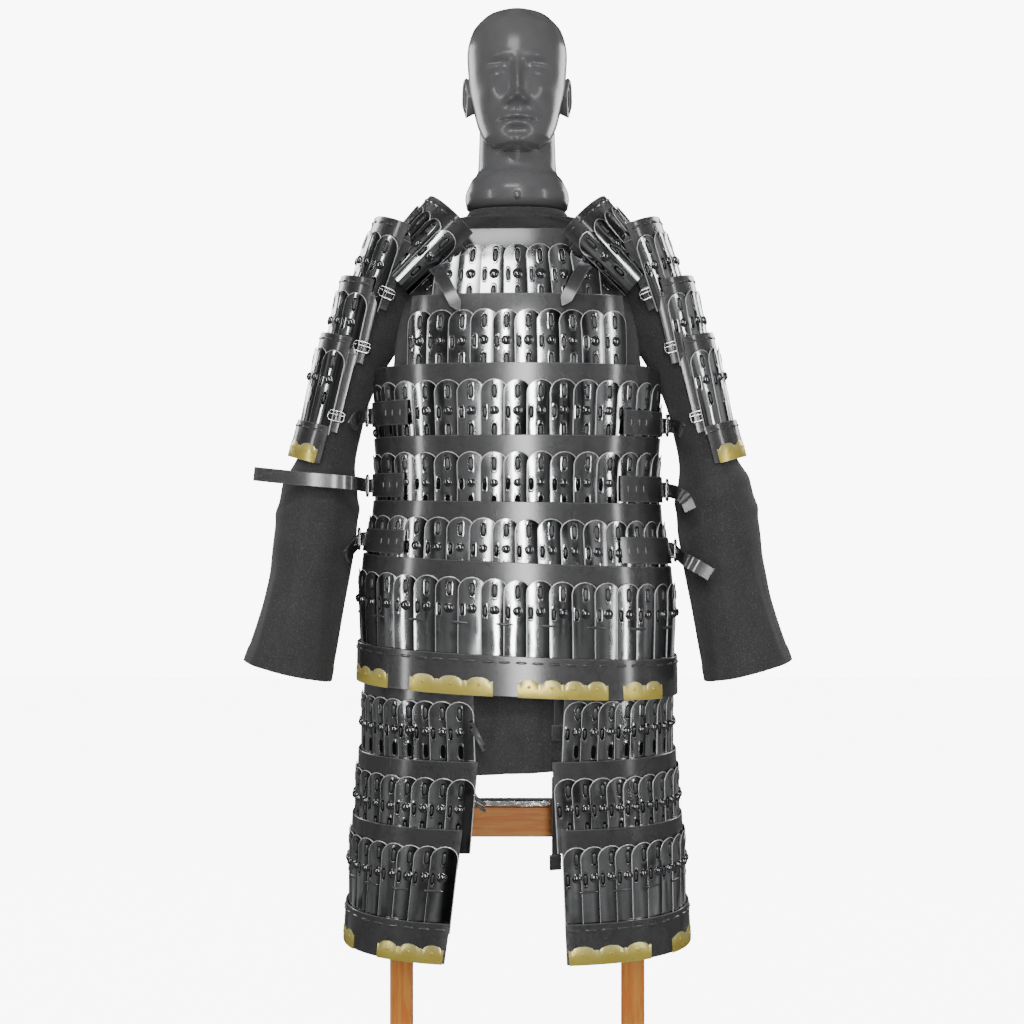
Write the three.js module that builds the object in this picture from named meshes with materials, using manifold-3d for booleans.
// Lamellar armour over a woollen arming coat, on a wooden display stand with a head.
// Millimetres, +Z up. The front faces -Y, and +X is on the right of someone facing the front.
import * as THREE from "three";
import { mergeVertices } from "three/addons/utils/BufferGeometryUtils.js";
import Module from "manifold-3d";

const wasm = await Module();
wasm.setup();

// ---------- Driving dimensions ----------

const SEAM = 0.3; // gap between neighbouring pieces
const FELT = 3; // thickness of the coat's wool
const ROW_WALL = 4; // leather band and steel lamellae together
const LEATHER = 3;
const BRASS = 1.2;
const BAND_SHOWN = 24; // leather that shows above the lamella tops
const LAMELLA = 109; // length of a lamella
const LONG_LAMELLA = 128; // length of a lamella in the lowest rows
const TOP_OUT = 10; // how far a row's inner face stands off its form at the top
const WIDE_TOP_OUT = 12; // and on the rows that go right round, where the form widens
const BOTTOM_OUT = 2.7; // and at the bottom, where the next row laps over it
const HEM_OUT = 9.5; // how far a hem band's inner face stands off
const HEM_HEIGHT = 58;
const HEM_LAP = 17; // how far a hem band laps over the lamellae
const STRAP_WIDTH = 22;
const ROUNDNESS = 2.4; // exponent of the body's outlines: 2 is an ellipse

// Upright forms, one line for each height: height, half width, depth in front, depth behind.
const COAT_FORM = [
  [643, 217, 140, 130],
  [760, 218, 141, 131],
  [900, 212, 138, 128],
  [1040, 196, 132, 121],
  [1200, 195, 130, 122],
  [1300, 189, 119, 114],
  [1370, 184, 105, 102],
  [1425, 172, 91, 91],
  [1453, 148, 80, 82],
  [1466, 116, 73, 75],
  [1473, 84, 69, 70],
];
const CUIRASS_FORM = [
  [740, 235, 161, 143],
  [820, 234, 158, 141],
  [900, 230, 154, 138],
  [960, 221, 150, 134],
  [1040, 207, 146, 131],
  [1137, 206, 146, 132],
  [1242, 206, 142, 134],
  [1345, 194, 128, 124],
  [1445, 174, 97, 99],
];
const TASSET_FORM = [
  [360, 255, 162, 146],
  [430, 252, 160, 144],
  [546, 243, 156, 140],
  [640, 234, 152, 136],
  [741, 226, 150, 132],
  [790, 222, 148, 130],
];

// Rows of the cuirass from the neck down: height of the band's top edge, lamella length, and how far each
// panel reaches towards the side at its top and bottom, where 1 is the side itself.
const TO_SIDE = 0.985;
const CUIRASS_ROWS = [
  { top: 1445, lamella: LAMELLA, reach: [0.48, 0.48] },
  { top: 1345, lamella: LAMELLA, reach: [0.585, 0.585] },
  { top: 1242, lamella: LAMELLA, reach: [0.84, TO_SIDE] },
  { top: 1137, lamella: LAMELLA, reach: [TO_SIDE, TO_SIDE] },
  { top: 1040, lamella: LAMELLA, reach: [TO_SIDE, TO_SIDE] },
  { top: 952, lamella: LONG_LAMELLA, reach: [TO_SIDE, TO_SIDE] },
];
const HANG_SLOPE = 0.045; // the lower cuirass hangs lower on the right by this slope
const HANG_FROM = 1100;
const HANG_FULL = 930;

// Rows of the tassets, with the distance of the inner edge from the middle at top and bottom on each side.
const TASSET_ROWS = [
  { top: 775, lamella: LAMELLA, left: [63, 60], right: [67, 62] },
  { top: 664, lamella: LAMELLA, left: [56, 68], right: [49, 57] },
  { top: 566, lamella: LONG_LAMELLA, left: [78, 98], right: [62, 68] },
];
const TASSET_HEM_EDGE = { left: [97, 104], right: [68, 70] };
const TASSET_REACH = 1.22; // the tassets end a little behind the sides

// Brass edging on the hem bands, by distance from the front middle along the band.
const BRASS_HEIGHT = 26;
const CUIRASS_BRASS = [[-290, -192], [-155, -35], [0, 129], [152, 222]];
const TASSET_BRASS = { left: [[107, 208], [258, 318]], right: [[73, 196], [236, 312]] };

// Arm plates from the neck outwards: middle of the band's ring, droop of its axis below level, lengths, and
// half width and half depth of the ring at the band and at the end. A lower arch number is more pointed.
const arm = (name, at, droop, length, band, end, reach, arch = 2) => (
  { name, at, droop, length, band, end, reach, arch }
);
const ARM_PLATES = [
  arm("shoulder_piece", [80, 1450], 42, 128, [85, 147], [74, 101], 111, 1.6),
  arm("upper_arm_piece", [157, 1448], 66.5, 133, [70, 120], [63, 78], 88),
  arm("middle_arm_piece", [211, 1371], 75, 130, [64.5, 91], [59, 68], 88),
  arm("lower_arm_piece", [244, 1286], 75.3, 150, [62, 77], [57, 64], 86),
];
const ARM_HEM = { start: 138, length: 58, band: [62, 68.5], end: [62.5, 68.5], reach: 86 };

// Middle line of a sleeve: x, y, z, half width, half depth.
const SLEEVE_PATH = [
  [96, 2, 1396, 40, 50],
  [140, 1, 1392, 48, 60],
  [182, 0, 1372, 54, 66],
  [212, 0, 1326, 52, 64],
  [242, 0, 1270, 46, 58],
  [268, -1, 1210, 43, 56],
  [284, -2, 1150, 43, 55],
  [294, -3, 1105, 45, 55],
  [303, -8, 1060, 58, 64],
  [309, -10, 1010, 63, 67],
  [317, -13, 950, 63, 66],
  [327, -17, 890, 62, 65],
  [339, -22, 835, 65, 67],
  [352, -27, 784, 69, 70],
];

// The display head: height, half width, depth in front, depth behind. A minus depth ends before the middle.
const HEAD_FORM = [
  [1571, 20, 84, -38],
  [1577, 35, 92, -4],
  [1592, 50, 96, 32],
  [1615, 60, 97, 60],
  [1642, 67, 97, 82],
  [1672, 73, 98, 95],
  [1702, 76, 98, 103],
  [1738, 77, 95, 104],
  [1766, 69, 84, 93],
  [1785, 52, 62, 71],
  [1796, 29, 32, 40],
  [1800, 8, 6, 12],
];
const NECK_FORM = [
  [1488, 70, 64, 66],
  [1493, 78, 72, 74],
  [1515, 80, 74, 76],
  [1538, 70, 66, 68],
  [1548, 61, 57, 62],
  [1640, 58, 54, 66],
];

// The stand.
const POST = 34; // side of a square post
const POST_X = 179;
const FOOT = { length: 480, width: 62, height: 36 };
const POST_TOP = 930;
const CROSSBAR = { low: 524, high: 569, thickness: 24 };
const TOP_RAIL_HEIGHT = 40;
const SHOULDER_BOARD = { half: 128, top: 1455, tip: 1425, height: 26 };

// ---------- Materials ----------

const paint = (color, roughness, metalness) => () =>
  new THREE.MeshStandardMaterial({ color, roughness, metalness });
const STEEL = paint("#b4b6b8", 0.14, 1);
const BLACK_LEATHER = paint("#2a2a2c", 0.4, 0);
const WOOL = paint("#343437", 0.95, 0);
const YELLOW_BRASS = paint("#d9b95c", 0.25, 1);
const WOOD = paint("#c45c1e", 0.45, 0);
const PLASTIC = paint("#4b4b4e", 0.3, 0);

// ---------- Making closed bodies ----------

const armour = new THREE.Group();

function addPiece(name, geometry, material) {
  geometry.computeVertexNormals();
  const mesh = new THREE.Mesh(geometry, material());
  mesh.name = name;
  armour.add(mesh);
}

function solidOf(geometry) {
  const bare = new THREE.BufferGeometry();
  bare.setAttribute("position", geometry.getAttribute("position"));
  bare.setIndex(geometry.index);
  const merged = mergeVertices(bare, 1e-3);
  return new wasm.Manifold(
    new wasm.Mesh({
      numProp: 3,
      vertProperties: merged.attributes.position.array,
      triVerts: new Uint32Array(merged.index.array),
    }),
  );
}

function geometryOf(solid) {
  const mesh = solid.getMesh();
  const geometry = new THREE.BufferGeometry();
  geometry.setAttribute("position", new THREE.BufferAttribute(mesh.vertProperties, 3));
  geometry.setIndex(new THREE.BufferAttribute(mesh.triVerts, 1));
  return geometry;
}

function closedBody(positions, faces) {
  const geometry = new THREE.BufferGeometry();
  geometry.setAttribute("position", new THREE.Float32BufferAttribute(positions, 3));
  geometry.setIndex(faces);
  let volume = 0;
  const corner = (i) => new THREE.Vector3().fromArray(positions, 3 * i);
  for (let i = 0; i < faces.length; i += 3) {
    volume += corner(faces[i]).dot(corner(faces[i + 1]).cross(corner(faces[i + 2])));
  }
  if (volume < 0) geometry.setIndex(faces.reverse());
  return geometry;
}

// A wall between two layers of one grid: point(u, v, layer) gives the inner layer at 0 and the outer at 1.
function wall(point, columns, rows, closed = false) {
  const across = closed ? columns : columns + 1;
  const positions = [];
  for (const layer of [0, 1]) {
    for (let j = 0; j <= rows; j += 1) {
      for (let i = 0; i < across; i += 1) positions.push(...point(i / columns, j / rows, layer));
    }
  }
  const id = (i, j, layer) => (layer * (rows + 1) + j) * across + (i % across);
  const faces = [];
  const quad = (a, b, c, d) => faces.push(a, b, c, a, c, d);
  for (let i = 0; i < columns; i += 1) {
    for (let j = 0; j < rows; j += 1) {
      quad(id(i, j, 1), id(i + 1, j, 1), id(i + 1, j + 1, 1), id(i, j + 1, 1));
      quad(id(i, j + 1, 0), id(i + 1, j + 1, 0), id(i + 1, j, 0), id(i, j, 0));
    }
    quad(id(i + 1, 0, 1), id(i, 0, 1), id(i, 0, 0), id(i + 1, 0, 0));
    quad(id(i, rows, 1), id(i + 1, rows, 1), id(i + 1, rows, 0), id(i, rows, 0));
  }
  for (let j = 0; j < rows && !closed; j += 1) {
    quad(id(0, j, 1), id(0, j + 1, 1), id(0, j + 1, 0), id(0, j, 0));
    quad(id(columns, j + 1, 1), id(columns, j, 1), id(columns, j, 0), id(columns, j + 1, 0));
  }
  return closedBody(positions, faces);
}

// A filled body through closed rings: point(u, v) goes round with u and along with v.
function loft(point, columns, rows) {
  const positions = [];
  for (let j = 0; j <= rows; j += 1) {
    for (let i = 0; i < columns; i += 1) positions.push(...point(i / columns, j / rows));
  }
  const faces = [];
  const id = (i, j) => j * columns + (i % columns);
  for (let i = 0; i < columns; i += 1) {
    for (let j = 0; j < rows; j += 1) {
      faces.push(id(i, j), id(i + 1, j), id(i + 1, j + 1), id(i, j), id(i + 1, j + 1), id(i, j + 1));
    }
  }
  for (let i = 1; i < columns - 1; i += 1) {
    faces.push(id(0, 0), id(i + 1, 0), id(i, 0), id(0, rows), id(i, rows), id(i + 1, rows));
  }
  return closedBody(positions, faces);
}

// A ribbon that stands on edge along a route of points, of the strap's width and the leather's thickness.
function ribbon(points, steps) {
  const curve = new THREE.CatmullRomCurve3(points.map((p) => new THREE.Vector3(...p)));
  return wall((u, v, layer) => {
    const place = curve.getPoint(u);
    const along = curve.getTangent(u).setZ(0).normalize();
    const out = new THREE.Vector3(along.y, -along.x, 0).multiplyScalar((layer - 0.5) * LEATHER);
    return place.add(out).setZ(place.z + (v - 0.5) * STRAP_WIDTH).toArray();
  }, steps, 1);
}

// ---------- Forms ----------

const mix = (a, b, t) => a + (b - a) * t;
const clamp01 = (t) => Math.min(1, Math.max(0, t));
const ease = (t) => clamp01(t) ** 2 * (3 - 2 * clamp01(t));

// A smooth curve through the lines of a table at a real line number.
function smoothLine(table, index) {
  const k = Math.min(table.length - 2, Math.max(0, Math.floor(index)));
  const f = index - k;
  const [before, here, next, after] = [k - 1, k, k + 1, k + 2].map(
    (i) => table[Math.min(table.length - 1, Math.max(0, i))],
  );
  return here.map((value, c) => {
    const bend = 2 * before[c] - 5 * value + 4 * next[c] - after[c];
    const twist = 3 * value - before[c] - 3 * next[c] + after[c];
    return value + 0.5 * f * (next[c] - before[c] + f * (bend + f * twist));
  });
}

// The line number of a height in a form.
function lineAt(form, height) {
  let k = 0;
  while (k < form.length - 2 && form[k + 1][0] < height) k += 1;
  return k + (height - form[k][0]) / (form[k + 1][0] - form[k][0]);
}

const QUARTER_STEPS = 48;

// A quarter of a rounded outline from its middle to its side, with the length gone at each step.
function quarterOutline(half, depth, power) {
  const points = [];
  let gone = 0;
  for (let i = 0; i <= QUARTER_STEPS; i += 1) {
    const angle = (i / QUARTER_STEPS) * (Math.PI / 2);
    const x = half * Math.sin(angle) ** (2 / power);
    const y = depth * Math.max(0, Math.cos(angle)) ** (2 / power);
    if (i) gone += Math.hypot(x - points[i - 1].x, y - points[i - 1].y);
    points.push({ x, y, gone });
  }
  return points;
}

// A place on a form: turn is 0 at the front, 1 at the right side, 2 at the back and -1 at the left side, by
// length round the outline, and out is the distance off it.
function onForm(form, line, turn, out, power = ROUNDNESS) {
  const [, half, front, back] = smoothLine(form, line);
  const k = Math.min(form.length - 2, Math.floor(line));
  const height = mix(form[k][0], form[k + 1][0], line - k);
  const wrapped = ((turn + 2) % 4 + 4) % 4 - 2;
  const inFront = Math.abs(wrapped) <= 1;
  const depth = inFront ? front : back;
  const middle = power === 2 ? (back - front) / 2 : 0;
  const reach = power === 2 ? (back + front) / 2 : depth;
  const outline = quarterOutline(half, reach, power);
  const total = outline[QUARTER_STEPS].gone;
  const goal = total * (inFront ? Math.abs(wrapped) : 2 - Math.abs(wrapped));
  let i = 1;
  while (i < QUARTER_STEPS && outline[i].gone < goal) i += 1;
  const t = (goal - outline[i - 1].gone) / (outline[i].gone - outline[i - 1].gone);
  const x = mix(outline[i - 1].x, outline[i].x, t);
  const y = mix(outline[i - 1].y, outline[i].y, t);
  const slopeX = (x / half) ** (power - 1) / half;
  const slopeY = (Math.max(0, y) / reach) ** (power - 1) / reach;
  const steep = Math.hypot(slopeX, slopeY);
  return [
    Math.sign(wrapped || 1) * (x + (out * slopeX) / steep),
    (inFront ? -1 : 1) * (y + (out * slopeY) / steep) + middle,
    height,
  ];
}

// The turn that lies a given length from the front middle.
function turnOf(form, line, length) {
  const [, half, front, back] = smoothLine(form, line);
  const frontQuarter = quarterOutline(half, front, ROUNDNESS)[QUARTER_STEPS].gone;
  const backQuarter = quarterOutline(half, back, ROUNDNESS)[QUARTER_STEPS].gone;
  const past = Math.abs(length) - frontQuarter;
  const turn = past < 0 ? Math.abs(length) / frontQuarter : 1 + past / backQuarter;
  return Math.sign(length) * turn;
}

// ---------- Cuirass ----------

// The lower cuirass hangs a little lower on the right.
function hang([x, y, z]) {
  return [x, y, z - HANG_SLOPE * x * ease((HANG_FROM - z) / (HANG_FROM - HANG_FULL))];
}

// A band on a form from one height to another, between two turns given at each height.
function formBand({ form, low, high, from, to, outLow, outHigh, thickness, columns, rows = 1, move = (p) => p }) {
  return wall((u, v, layer) => {
    const line = lineAt(form, mix(low, high, v));
    const out = mix(outLow, outHigh, v) + layer * thickness;
    return move(onForm(form, line, mix(from(v), to(v), u), out));
  }, columns, rows);
}

const always = (value) => () => value;

const panels = [["front", 0], ["back", 2]];
for (const [index, row] of CUIRASS_ROWS.entries()) {
  const reach = (v) => mix(row.reach[1], row.reach[0], v);
  for (const [panel, middle] of panels) {
    const band = {
      form: CUIRASS_FORM,
      low: row.top - BAND_SHOWN - row.lamella,
      high: row.top,
      from: (v) => middle - reach(v),
      to: (v) => middle + reach(v),
      outLow: BOTTOM_OUT,
      outHigh: row.reach[0] === TO_SIDE ? WIDE_TOP_OUT : TOP_OUT,
      thickness: ROW_WALL,
      columns: row.reach[1] === TO_SIDE ? 16 : 10,
      rows: row.reach[1] === TO_SIDE ? 4 : 2,
      move: hang,
    };
    addPiece(panel + "_row_" + (index + 1), formBand(band), STEEL);
  }
}

const lowestRow = CUIRASS_ROWS.at(-1);
const hemTop = lowestRow.top - BAND_SHOWN - lowestRow.lamella + HEM_LAP;
for (const [panel, middle] of panels) {
  const band = {
    form: CUIRASS_FORM,
    low: hemTop - HEM_HEIGHT,
    high: hemTop,
    from: always(middle - TO_SIDE),
    to: always(middle + TO_SIDE),
    outLow: HEM_OUT,
    outHigh: HEM_OUT,
    thickness: LEATHER,
    columns: 20,
    move: hang,
  };
  addPiece(panel + "_hem_band", formBand(band), BLACK_LEATHER);
}

function brassStrip(form, low, lengths, side, columns, move) {
  const line = lineAt(form, low);
  return formBand({
    form,
    low,
    high: low + BRASS_HEIGHT,
    from: always(side * turnOf(form, line, lengths[0])),
    to: always(side * turnOf(form, line, lengths[1])),
    outLow: HEM_OUT + LEATHER + SEAM,
    outHigh: HEM_OUT + LEATHER + SEAM,
    thickness: BRASS,
    columns,
    move,
  });
}

for (const [index, lengths] of CUIRASS_BRASS.entries()) {
  const strip = brassStrip(CUIRASS_FORM, hemTop - HEM_HEIGHT - 1, lengths, 1, 6, hang);
  addPiece("cuirass_brass_" + (index + 1), strip, YELLOW_BRASS);
}

// ---------- Tassets ----------

// The turn at which a tasset's inner edge stands, from its distance off the middle.
const edgeTurn = (height, distance) => turnOf(TASSET_FORM, lineAt(TASSET_FORM, height), distance);

function tassetBand(side, low, high, edge, outLow, outHigh, thickness) {
  const sign = side === "left" ? -1 : 1;
  return formBand({
    form: TASSET_FORM,
    low,
    high,
    from: (v) => sign * edgeTurn(mix(low, high, v), mix(edge[1], edge[0], v)),
    to: always(sign * TASSET_REACH),
    outLow,
    outHigh,
    thickness,
    columns: 14,
  });
}

const lastTasset = TASSET_ROWS.at(-1);
const tassetHemTop = lastTasset.top - BAND_SHOWN - lastTasset.lamella + HEM_LAP;
for (const side of ["left", "right"]) {
  for (const [index, row] of TASSET_ROWS.entries()) {
    const low = row.top - BAND_SHOWN - row.lamella;
    const band = tassetBand(side, low, row.top, row[side], BOTTOM_OUT, TOP_OUT, ROW_WALL);
    addPiece("tasset_" + side + "_row_" + (index + 1), band, STEEL);
  }
  const low = tassetHemTop - HEM_HEIGHT;
  const hem = tassetBand(side, low, tassetHemTop, TASSET_HEM_EDGE[side], HEM_OUT, HEM_OUT, LEATHER);
  addPiece("tasset_" + side + "_hem_band", hem, BLACK_LEATHER);
  for (const [index, lengths] of TASSET_BRASS[side].entries()) {
    const strip = brassStrip(TASSET_FORM, low - 1, lengths, side === "left" ? -1 : 1, 6);
    addPiece("tasset_" + side + "_brass_" + (index + 1), strip, YELLOW_BRASS);
  }
}

// ---------- Arm plates and sleeves ----------

// A place on a slanted ring whose axis droops below level: angle is 0 at the outer top and 90 in front.
function onRing(side, at, droop, [half, depth], angle, out, power = 2) {
  const outward = Math.cos(angle);
  const forward = Math.sin(angle);
  const a = half * Math.sign(outward) * Math.abs(outward) ** (2 / power);
  const b = depth * Math.sign(forward) * Math.abs(forward) ** (2 / power);
  const slopeA = (Math.sign(a) * Math.abs(a / half) ** (power - 1)) / half;
  const slopeB = (Math.sign(b) * Math.abs(b / depth) ** (power - 1)) / depth;
  const steep = Math.hypot(slopeA, slopeB);
  const off = a + (out * slopeA) / steep;
  const toFront = b + (out * slopeB) / steep;
  return [side * (at[0] + off * Math.sin(droop)), at[1] - toFront, at[2] + off * Math.cos(droop)];
}

function armWall(side, plate, start, length, thickness) {
  const droop = THREE.MathUtils.degToRad(plate.droop);
  const reach = THREE.MathUtils.degToRad(plate.reach);
  return wall((u, v, layer) => {
    const gone = start + v * length;
    const at = [plate.at[0] + gone * Math.cos(droop), 0, plate.at[1] - gone * Math.sin(droop)];
    const size = [mix(plate.band[0], plate.end[0], v), mix(plate.band[1], plate.end[1], v)];
    return onRing(side, at, droop, size, mix(-reach, reach, u), (layer - 1) * thickness, plate.arch);
  }, 14, 1);
}

const SLEEVE_RINGS = 18;
const SLEEVE_COLUMNS = 14;

// A place on a sleeve: u goes round it and v from the shoulder to the cuff.
function onSleeve(side, u, v, out) {
  const last = SLEEVE_PATH.length - 1;
  const here = smoothLine(SLEEVE_PATH, v * last);
  const before = smoothLine(SLEEVE_PATH, Math.max(0, v * last - 0.1));
  const after = smoothLine(SLEEVE_PATH, Math.min(last, v * last + 0.1));
  const droop = Math.atan2(before[2] - after[2], after[0] - before[0]);
  return onRing(side, here, droop, here.slice(3), 2 * Math.PI * u, out);
}

const sides = [["left", -1], ["right", 1]];
for (const [name, side] of sides) {
  for (const plate of ARM_PLATES) {
    addPiece(plate.name + "_" + name, armWall(side, plate, 0, plate.length, ROW_WALL), STEEL);
  }
  const hem = { ...ARM_PLATES.at(-1), ...ARM_HEM, arch: 2 };
  addPiece("arm_hem_band_" + name, armWall(side, hem, hem.start, hem.length, LEATHER), BLACK_LEATHER);
}

// ---------- Coat ----------

const COAT_LINES = COAT_FORM.length - 1;
const COAT_ROWS = 13;
const COAT_COLUMNS = 16;

// A place on the coat's outer face, moved out square to it.
function onCoat(turn, line, out) {
  const here = onForm(COAT_FORM, line, turn, 0);
  if (!out) return here;
  const step = 0.05;
  const low = Math.max(0, line - step);
  const high = Math.min(COAT_LINES, line + step);
  const place = (atTurn, atLine) => new THREE.Vector3(...onForm(COAT_FORM, atLine, atTurn, 0));
  const round = place(turn + step, line).sub(place(turn - step, line));
  const up = place(turn, high).sub(place(turn, low));
  return new THREE.Vector3(...here).add(round.cross(up).normalize().multiplyScalar(out)).toArray();
}

const filledCoat = solidOf(
  loft((u, v) => onCoat(4 * u, v * COAT_LINES, SEAM), 2 * COAT_COLUMNS, COAT_ROWS),
);
const SIDE_SEAM = 0.0012; // half the side seam, as a share of a quarter turn

function coatPanel(middle) {
  return solidOf(
    wall((u, v, layer) => {
      const turn = middle + mix(-1 + SIDE_SEAM, 1 - SIDE_SEAM, u);
      return onCoat(turn, v * COAT_LINES, (layer - 1) * FELT);
    }, COAT_COLUMNS, COAT_ROWS),
  );
}

let coatFront = coatPanel(0);
let coatBack = coatPanel(2);
for (const [name, side] of sides) {
  const filled = solidOf(loft((u, v) => onSleeve(side, u, v, 0), SLEEVE_COLUMNS, SLEEVE_RINGS));
  coatFront = coatFront.subtract(filled);
  coatBack = coatBack.subtract(filled);
  const layered = (u, v, layer) => onSleeve(side, u, v, (layer - 1) * FELT);
  const tube = solidOf(wall(layered, SLEEVE_COLUMNS, SLEEVE_RINGS, true));
  addPiece("coat_sleeve_" + name, geometryOf(tube.subtract(filledCoat)), WOOL);
}
addPiece("coat_front", geometryOf(coatFront), WOOL);
addPiece("coat_back", geometryOf(coatBack), WOOL);

const COLLAR = { low: 1473.5, high: 1486, bottom: [82, 68, 69], top: [76, 63, 64] };
const COLLAR_FORM = [[COLLAR.low, ...COLLAR.bottom], [COLLAR.high, ...COLLAR.top]];
const collar = wall((u, v, layer) => onForm(COLLAR_FORM, v, 4 * u, (layer - 1) * FELT), 32, 1, true);
addPiece("coat_collar", collar, WOOL);

// The leather yoke lies on the coat's shoulders, deeper in front and behind than over the shoulders.
const YOKE = { chest: 1436, shoulder: 1461, neck: 1470, off: 2.2 };
const yoke = wall((u, v, layer) => {
  const turn = 4 * u;
  const offShoulder = ease(Math.abs((turn % 2) - 1));
  const edge = mix(YOKE.shoulder, YOKE.chest, offShoulder);
  const line = mix(lineAt(COAT_FORM, edge), lineAt(COAT_FORM, YOKE.neck), v);
  return onCoat(turn, line, YOKE.off + layer * LEATHER);
}, 40, 3, true);
addPiece("leather_yoke", yoke, BLACK_LEATHER);

// ---------- Side straps ----------

// Straps from tabs on the front rows round to the back rows, with the free end of each.
const STRAPS = [
  { height: { left: 1172, right: 1157 }, start: { left: 0.55, right: 0.53 } },
  { height: { left: 1064, right: 1060 }, start: { left: 0.57, right: 0.51 } },
  { height: { left: 975, right: 975 }, start: { left: 0.54, right: 0.49 } },
];
const STRAP_BACK = 1.22;
const TAB_WIDTH = 37; // a front tab is wider than the strap that buckles to it
const TAB_END = 0.84;
const STRAP_OUT = 16.5; // how far a strap's inner face stands off the form
const STRAP_BULGE = 5; // and further at the buckle
const FREE_END_FROM = 0.9; // where a free end leaves its buckle
const FREE_ENDS = {
  left_1: [[-241, -74, 1166], [-247, -84, 1152]],
  left_2: [[-244, -84, 1068], [-275, -92, 1071], [-325, -98, 1075], [-392, -94, 1082]],
  left_3: [[-252, -78, 965], [-256, -88, 958]],
  right_1: [[241, -76, 1152], [246, -86, 1146]],
  right_2: [[240, -82, 1053], [252, -90, 1042], [258, -94, 1028]],
  right_3: [[250, -86, 954], [268, -92, 944], [288, -95, 932]],
};

// A place on a side strap: up is the height off its middle, and deep the depth into the leather.
function onStrap(side, turn, height, up, deep) {
  const bulge = STRAP_BULGE * Math.exp(-(((turn - 0.97) / 0.09) ** 2));
  const line = lineAt(CUIRASS_FORM, height + up);
  return hang(onForm(CUIRASS_FORM, line, side * turn, STRAP_OUT + bulge + deep));
}

for (const [name, side] of sides) {
  for (const [index, strap] of STRAPS.entries()) {
    const middle = strap.height[name];
    const band = wall((u, v, layer) => {
      const turn = mix(strap.start[name], STRAP_BACK, u);
      const width = turn < TAB_END ? TAB_WIDTH : STRAP_WIDTH;
      return onStrap(side, turn, middle, (v - 0.5) * width, layer * LEATHER);
    }, 20, 1);
    const leaves = onStrap(side, FREE_END_FROM, middle, 0, LEATHER / 2);
    const freeEnd = ribbon([leaves, ...FREE_ENDS[name + "_" + (index + 1)]], 8);
    const whole = solidOf(band).add(solidOf(freeEnd));
    addPiece("side_strap_" + name + "_" + (index + 1), geometryOf(whole), BLACK_LEATHER);
  }
}

// ---------- Display head and stand ----------

const HEAD_COLUMNS = 20;
const rounded = (form, rows) => {
  const ring = (u, v) => onForm(form, v * (form.length - 1), 4 * u, 0, 2);
  return solidOf(loft(ring, HEAD_COLUMNS, rows));
};
addPiece("display_head", geometryOf(rounded(HEAD_FORM, 16).add(rounded(NECK_FORM, 7))), PLASTIC);

function addBlock(name, size, low, material) {
  const box = new THREE.BoxGeometry(...size);
  box.translate(low[0], low[1], low[2] + size[2] / 2);
  addPiece(name, box, material);
}

for (const [name, side] of sides) {
  const footSize = [FOOT.width, FOOT.length, FOOT.height];
  const postSize = [POST, POST, POST_TOP - FOOT.height - SEAM];
  addBlock("stand_foot_" + name, footSize, [side * POST_X, 0, 0], WOOD);
  addBlock("stand_post_" + name, postSize, [side * POST_X, 0, FOOT.height + SEAM], WOOD);
}
const railSize = [2 * POST_X - FOOT.width - 2 * SEAM, POST, FOOT.height];
addBlock("stand_foot_rail", railSize, [0, 0, 0], WOOD);
const crossbarSize = [2 * POST_X - POST - 2 * SEAM, CROSSBAR.thickness, CROSSBAR.high - CROSSBAR.low];
addBlock("stand_crossbar", crossbarSize, [0, 0, CROSSBAR.low], WOOD);

// The upper frame: a rail on the posts, a middle post, and a sloping board under the coat's shoulders.
const frameOutline = new THREE.Shape();
const railLow = POST_TOP + SEAM;
const railHigh = railLow + TOP_RAIL_HEIGHT;
const railHalf = POST_X + POST / 2;
const boardLow = SHOULDER_BOARD.top - SHOULDER_BOARD.height;
const rightEdge = [
  [railHalf, railLow],
  [railHalf, railHigh],
  [POST / 2, railHigh],
  [POST / 2, boardLow],
  [SHOULDER_BOARD.half, SHOULDER_BOARD.tip - SHOULDER_BOARD.height],
  [SHOULDER_BOARD.half, SHOULDER_BOARD.tip],
  [SHOULDER_BOARD.half * 0.7, SHOULDER_BOARD.top],
];
frameOutline.setFromPoints(
  [...rightEdge, ...rightEdge.map(([x, z]) => [-x, z]).reverse()].map((p) => new THREE.Vector2(...p)),
);
const frame = new THREE.ExtrudeGeometry(frameOutline, { depth: POST, bevelEnabled: false });
frame.rotateX(Math.PI / 2);
frame.translate(0, POST / 2, 0);
const plug = new THREE.BoxGeometry(POST, POST, NECK_FORM[0][0] - SEAM - boardLow);
plug.translate(0, 0, boardLow + (NECK_FORM[0][0] - SEAM - boardLow) / 2);
addPiece("stand_upper_frame", geometryOf(solidOf(frame).add(solidOf(plug))), WOOD);

export default armour;
